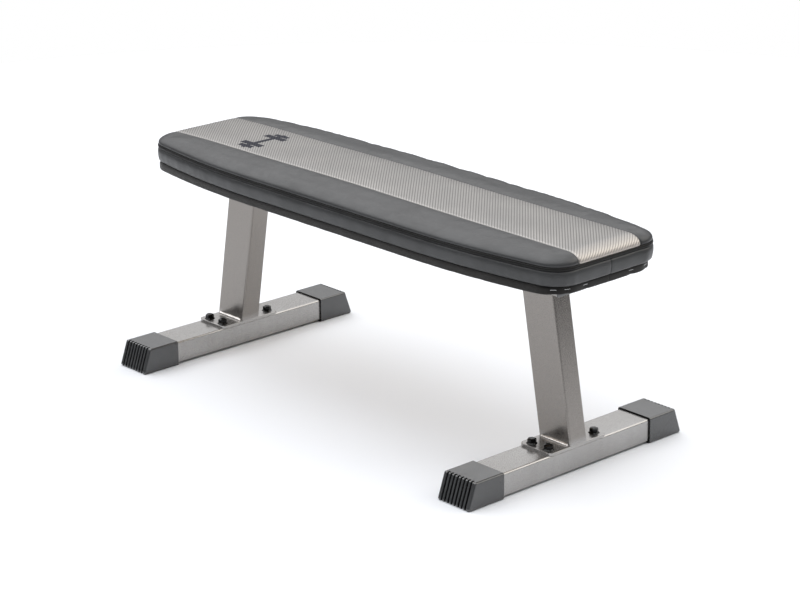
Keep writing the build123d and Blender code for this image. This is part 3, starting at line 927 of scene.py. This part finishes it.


def strip_look(name):
    """Silver vinyl with painted shade in the grooves between its paler ribs, a painted highlight where it
    bends over the front end, and a dumbbell printed in dark ink near the rear end.
    """
    look = Look(name, Specular_IOR_Level=0.45)
    rib = look.add("ShaderNodeAttribute", attribute_name="rib").outputs["Fac"]
    fine = look.cells(900.0)
    threads = look.noise(700.0, 2.0, 0.5, 0.0, look.stretch((1.0, 1.0, 1.0), (0, 0, radians(-45))))
    cloud = look.noise(11.0, 3.0)
    light = look.mix(look.span(cloud, 0.3, 0.7), gray(146, 0.03), gray(156, 0.04))
    # painted shade: the grooves between the ribs are darker than the ribs
    color = look.mix(look.span(rib, 0.12, 0.62), gray(106, 0.04), light)
    x, y, _ = look.split(look.place)
    # painted highlight: the strip is paler, its ribs most, where it bends over the front end
    painted_highlight = look.span(x, *PAINTED_HIGHLIGHT_X, 0.0, 0.55)
    highlight_color = look.mix(look.span(rib, 0.05, 0.5), gray(150, 0.10), gray(205, 0.10))
    color = look.mix(painted_highlight, color, highlight_color)
    from_mark_x = look.math("ABSOLUTE", look.math("SUBTRACT", x, MARK_X))
    from_mark_y = look.math("ABSOLUTE", look.math("SUBTRACT", y, MARK_Y))
    mark = None
    for middle_y, half_y, half_x in MARK_BARS:
        from_bar_y = look.math("ABSOLUTE", look.math("SUBTRACT", from_mark_y, middle_y))
        gap_y = look.math("SUBTRACT", from_bar_y, half_y)
        gap_x = look.math("SUBTRACT", from_mark_x, half_x)
        bar = look.math("MAXIMUM", gap_x, gap_y)
        mark = bar if mark is None else look.math("MINIMUM", mark, bar)
    printed = look.span(mark, 0.0004, -0.0004)
    printed = look.math("MULTIPLY", printed, look.span(threads, 0.2, 0.45, 0.97, 1.0))
    color = look.mix(printed, color, (0.006, 0.007, 0.015))
    rough = look.span(rib, 0.0, 1.0, 0.50, 0.29)
    rough = look.math("ADD", rough, look.span(threads, 0.3, 0.7, -0.03, 0.05))
    rough = look.math("ADD", rough, look.math("MULTIPLY", printed, 0.40))
    metallic = look.span(printed, 0.0, 1.0, 0.55, 0.0)
    normal = look.bump(fine, 0.00016, 0.4)
    normal = look.bump(threads, 0.0003, 0.35, normal)
    return look.finish(color, rough, normal, metallic)


# Heights over which the painted shade on the uprights begins and ends
PAINTED_SHADE_FROM = (0.050, 0.066)
PAINTED_SHADE_TO = (0.350, 0.330)


def paint_look(name, tone, warm, metallic, roughness, upright_shade):
    """Metallic paint. Painted shade darkens the uprights by a given share, and the edges are paler, for wear
    and a painted glint.
    """
    look = Look(name, metallic=metallic)
    powder = look.noise(900.0, 3.0, 0.6)
    cloud = look.noise(6.0, 4.0, 0.55, 0.3)
    streaks = look.noise(60.0, 4.0, 0.6, 0.0, look.stretch((1.0, 1.0, 0.12)))
    color = look.mix(look.span(cloud, 0.3, 0.7), gray(tone - 5, warm), gray(tone + 5, warm * 0.6))
    color = look.mix(look.span(streaks, 0.42, 0.72, 0.0, 0.35), color, gray(tone - 14, warm))
    height = look.split(look.place)[2]
    # painted shade: the uprights are darker than the feet between these heights
    upright = look.math("MULTIPLY", look.span(height, *PAINTED_SHADE_FROM), look.span(height, *PAINTED_SHADE_TO))
    color = look.mix(look.math("MULTIPLY", upright, upright_shade), color, gray(tone - 36, warm + 0.05))
    # the edges are paler, partly for wear and partly as a painted highlight
    edge_wear_and_glint = look.edges(0.0012)
    edge_wear_and_glint = look.math("MULTIPLY", edge_wear_and_glint, look.span(look.noise(140.0, 3.0), 0.35, 0.6, 0.35, 1.0))
    color = look.mix(look.math("MULTIPLY", edge_wear_and_glint, 0.2), color, gray(min(tone + 30, 250), warm * 0.5))
    rough = look.span(powder, 0.25, 0.75, roughness - 0.06, roughness + 0.08)
    rough = look.math("ADD", rough, look.math("MULTIPLY", edge_wear_and_glint, 0.25))
    normal = look.bump(powder, 0.00008, 0.5)
    normal = look.bump(look.noise(45.0, 2.0), 0.0003, 0.12, normal)
    return look.finish(color, rough, normal)


def plastic_look(name, tone, roughness, shine):
    """Finely textured plastic with scuffed edges."""
    look = Look(name, Specular_IOR_Level=shine)
    texture = look.cells(1500.0)
    cloud = look.noise(22.0, 4.0, 0.6)
    color = look.mix(look.span(cloud, 0.3, 0.7), gray(tone - 3, -0.03), gray(tone + 3, -0.03))
    edge_wear_and_glint = look.edges(0.0010)
    scuffs = look.span(look.noise(160.0, 4.0, 0.65, 0.4), 0.45, 0.65)
    color = look.mix(look.math("MULTIPLY", edge_wear_and_glint, look.math("MULTIPLY", scuffs, 0.3)), color, gray(tone + 50))
    rough = look.span(cloud, 0.3, 0.7, roughness - 0.03, roughness + 0.04)
    look.finish(color, rough, look.bump(texture, 0.00006, 0.35))
    return look


def cap_look(name, tone, roughness, shine):
    """Plastic whose grooves, under the slanted ends of the caps, are darkened as painted shade."""
    look = plastic_look(name, tone, roughness, shine)
    cap_low, cap_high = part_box("foot_cap_front_left")
    across, along, up = look.split(look.place)
    from_middle = look.math("SUBTRACT", look.math("ABSOLUTE", across), (cap_low.x + cap_high.x) / 2)
    from_middle = look.math("ABSOLUTE", from_middle)
    slant = look.span(up, 0.0, cap_high.z, cap_high.y, cap_high.y - CAP_SLANT)
    beneath = look.math("SUBTRACT", slant, look.math("ABSOLUTE", along))
    groove = look.span(beneath, 0.0008, 0.0020)
    groove = look.math("MULTIPLY", groove, look.span(beneath, 0.020, 0.012))
    groove = look.math("MULTIPLY", groove, look.span(up, cap_high.z - 0.0003, cap_high.z - 0.0012))
    half_width = (cap_high.x - cap_low.x) / 2
    groove = look.math("MULTIPLY", groove, look.span(from_middle, half_width - 0.001, half_width - 0.003))
    # painted shade: near black and without shine inside the grooves
    base = look.shader.inputs["Base Color"].links[0].from_socket
    look.put(look.shader.inputs["Base Color"], look.mix(groove, base, gray(14)))
    look.put(look.shader.inputs["Specular IOR Level"], look.span(groove, 0.0, 1.0, shine, 0.05))
    return look


def metal_look(name, tone, warm, metallic, roughness, shine=0.5):
    """Bare or blackened steel, brighter on its edges, for wear and a painted glint."""
    look = Look(name, metallic=metallic, Specular_IOR_Level=shine)
    brushed = look.noise(260.0, 4.0, 0.6)
    color = look.mix(look.span(brushed, 0.3, 0.7), gray(tone - 9, warm), gray(tone + 7, warm))
    # the edges are paler, partly for wear and partly as a painted glint
    edge_wear_and_glint = look.math("MULTIPLY", look.edges(0.0006), 0.4)
    color = look.mix(edge_wear_and_glint, color, gray(min(tone + 45, 250), warm))
    rough = look.span(brushed, 0.25, 0.75, roughness - 0.06, roughness + 0.08)
    return look.finish(color, rough, look.bump(brushed, 0.00006, 0.4))


def fabric_look(name, tone, warm):
    """Woven cloth with a little fuzz."""
    look = Look(name, roughness=0.8, Specular_IOR_Level=0.3, Sheen_Weight=0.25, Sheen_Roughness=0.5)
    weave = look.bands("DIAGONAL", Scale=420.0, Distortion=1.2)
    fuzz = look.noise(1100.0, 2.0)
    cloud = look.noise(26.0, 4.0, 0.6)
    color = look.mix(look.span(cloud, 0.3, 0.7), gray(tone - 5, warm), gray(tone + 7, warm))
    color = look.mix(look.math("MULTIPLY", weave, 0.35), color, gray(tone - 14, warm))
    rough = look.span(fuzz, 0, 1, 0.72, 0.9)
    normal = look.bump(weave, 0.0002, 0.6)
    return look.finish(color, rough, look.bump(fuzz, 0.0002, 0.4, normal))


PLIES_PER_METRE = 415.0


def wood_look(name):
    """Plywood, with its plies on the edges."""
    look = Look(name, roughness=0.7)
    rings = look.bands("Y", look.stretch((0.16, 1.0, 1.0)), Scale=14.0, Distortion=7.0, Detail=3.0)
    fibre = look.noise(220.0, 4.0, 0.6, 0.0, look.stretch((0.05, 1.0, 1.0)))
    plies = look.math("FRACT", look.math("MULTIPLY", look.split(look.place)[2], PLIES_PER_METRE))
    color = look.mix(rings, (0.50, 0.34, 0.19), (0.62, 0.45, 0.27))
    color = look.mix(look.span(fibre, 0.35, 0.7, 0.0, 0.5), color, (0.34, 0.22, 0.12))
    dark_plies = look.math("MULTIPLY", look.math("GREATER_THAN", plies, 0.5), 0.25)
    color = look.mix(dark_plies, color, (0.28, 0.17, 0.09))
    return look.finish(color, look.span(fibre, 0.3, 0.7, 0.6, 0.8), look.bump(fibre, 0.0003, 0.4))


def foam_look(name):
    """Open-celled foam."""
    look = Look(name, roughness=0.95)
    pores = look.cells(500.0)
    color = look.mix(look.span(pores, 0.1, 0.5), (0.52, 0.44, 0.27), (0.72, 0.66, 0.48))
    return look.finish(color, look.span(pores, 0, 1, 0.9, 1.0), look.bump(pores, 0.0008, 0.6))


LOOKS = {
    "strip_vinyl": strip_look("strip_vinyl_look"),
    "dark_vinyl": vinyl_look("dark_vinyl_look", 60, -0.02, 0.34, 0.42),
    "piping_vinyl": vinyl_look("piping_vinyl_look", 28, 0.05, 0.46, 0.20),
    "hem_fabric": fabric_look("hem_fabric_look", 28, 0.16),
    "staple_steel": metal_look("staple_steel_look", 170, 0.0, 1.0, 0.3),
    "foam": foam_look("foam_look"),
    "plywood": wood_look("plywood_look"),
    "zinc_steel": metal_look("zinc_steel_look", 196, 0.01, 1.0, 0.34),
    "black_steel": metal_look("black_steel_look", 10, 0.0, 0.0, 0.14, 0.24),
    "frame_paint": paint_look("frame_paint_look", 166, 0.030, 0.94, 0.26, 0.9),
    # painted highlight: the weld beads are paler than the frame paint, for their glints
    "weld_bead": paint_look("weld_bead_look", 212, 0.06, 0.9, 0.26, 0.4),
    "plug_plastic": plastic_look("plug_plastic_look", 108, 0.40, 0.5).material,
    "cap_plastic": cap_look("cap_plastic_look", 58, 0.19, 1.0).material,
}



def dress(piece, slot):
    """Gives a piece the look of its material slot."""
    piece.data.materials.clear()
    piece.data.materials.append(LOOKS[slot])


for part in frame["record"]["subparts"]:
    dress(frame["nodes"][part["node"]], part["material_slot"])

PIECES = (
    (strip, "strip_vinyl"),
    (panels["left"], "dark_vinyl"),
    (panels["right"], "dark_vinyl"),
    (boxing, "dark_vinyl"),
    (piping, "piping_vinyl"),
    (hem, "hem_fabric"),
    (cushion, "foam"),
    (welds["front"], "weld_bead"),
    (welds["rear"], "weld_bead"),
)
for piece, slot in PIECES:
    dress(piece, slot)
    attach(piece, "root")

# ---------------------------------------------------------------- floor, light and camera

FLOOR_RADIUS = 3.0

floor_mesh = bpy.data.meshes.new("studio_floor")
work = bmesh.new()
bmesh.ops.create_circle(work, cap_ends=True, segments=96, radius=FLOOR_RADIUS)
work.to_mesh(floor_mesh)
work.free()
floor = linked("studio_floor", floor_mesh)
floor_look = Look("studio_floor_look", roughness=0.9, Specular_IOR_Level=0.0)
floor_color = floor_look.mix(floor_look.noise(0.7, 2.0), (0.755, 0.768, 0.79), (0.77, 0.783, 0.805))
floor.data.materials.append(floor_look.finish(floor_color))

# The walls are dim, but for a bright screen behind the bench, well above the floor. Positions are
# the sine of the height above the horizon. The camera itself sees plain white.
WALL_TONES = ((0.0, (0.09, 0.09, 0.092)), (0.35, (0.22, 0.222, 0.23)), (1.0, (0.84, 0.85, 0.88)))
SCREEN_TONES = ((0.24, (0.16, 0.16, 0.165)), (0.36, (1.38, 1.38, 1.39)))
SCREEN_DIRECTION = (-0.741, 0.671, 0.0)
SCREEN_SIDES = (0.25, 0.75)  # cosine of the angle off that direction, from its edge to full light

world = bpy.data.worlds.new("studio")
scene.world = world
world.use_nodes = True
world.node_tree.nodes.clear()
studio = Graph(world.node_tree)


def tone_ramp(height, tones):
    """Colour by height."""
    node = studio.add("ShaderNodeValToRGB")
    stops = node.color_ramp.elements
    stops[0].position, stops[-1].position = tones[0][0], tones[-1][0]
    for position, _ in tones[1:-1]:
        stops.new(position)
    for stop, (_, color) in zip(stops, tones):
        stop.color = (*color, 1)
    studio.put(node.inputs[0], height)
    return node.outputs[0]


def background(color):
    node = studio.add("ShaderNodeBackground")
    studio.put(node.inputs["Color"], color)
    return node.outputs[0]


direction = studio.add("ShaderNodeTexCoord").outputs["Generated"]
height = studio.split(direction)[2]
screen = studio.add("ShaderNodeMapRange", interpolation_type="SMOOTHSTEP")
screen.inputs["From Min"].default_value, screen.inputs["From Max"].default_value = SCREEN_SIDES
studio.put(screen.inputs["Value"], studio.dot(direction, SCREEN_DIRECTION))
room = studio.mix(screen.outputs[0], tone_ramp(height, WALL_TONES), tone_ramp(height, SCREEN_TONES))
choose = studio.add("ShaderNodeMixShader")
seen = studio.add("ShaderNodeLightPath").outputs["Is Camera Ray"]
for socket, value in zip(choose.inputs, (seen, background(room), background((1, 1, 1, 1)))):
    studio.put(socket, value)
studio.put(studio.add("ShaderNodeOutputWorld").inputs[0], choose.outputs[0])


def sun(name, toward, angle, strength, color):
    """Distant soft light that shines from the direction toward."""
    light = bpy.data.lights.new(name, "SUN")
    light.angle = radians(angle)
    light.energy = strength
    light.color = color
    linked(name, light).rotation_euler = Vector(toward).to_track_quat("Z", "Y").to_euler()


sun("overhead_softbox", (-0.25, -0.20, 1.0), 80, 2.45, (0.985, 0.99, 1.0))
sun("back_softbox", (0.42, 0.63, 0.60), 50, 1.05, (1.0, 0.96, 0.89))

CAMERA_PLACE = Vector((3.4772, -3.1198, 1.8082))
AZIMUTH = radians(47.850)
ELEVATION = radians(18.988)
ROLL = radians(-0.480)
LENS, SENSOR = 115.33, 36.0  # millimetres
back = Vector((sin(AZIMUTH) * cos(ELEVATION), -cos(AZIMUTH) * cos(ELEVATION), sin(ELEVATION)))
level = Vector((cos(AZIMUTH), sin(AZIMUTH), 0.0))
upright = back.cross(level)
right = level * cos(ROLL) + upright * sin(ROLL)
above = upright * cos(ROLL) - level * sin(ROLL)
camera_data = bpy.data.cameras.new("camera")
camera_data.sensor_width = SENSOR
camera_data.lens = LENS
camera_data.clip_end = 200.0
camera = linked("camera", camera_data)
facing = Matrix((right, above, back)).transposed().to_4x4()
camera.matrix_world = Matrix.Translation(CAMERA_PLACE) @ facing
scene.camera = camera
scene.view_settings.view_transform = "Standard"
scene.view_settings.look = "None"
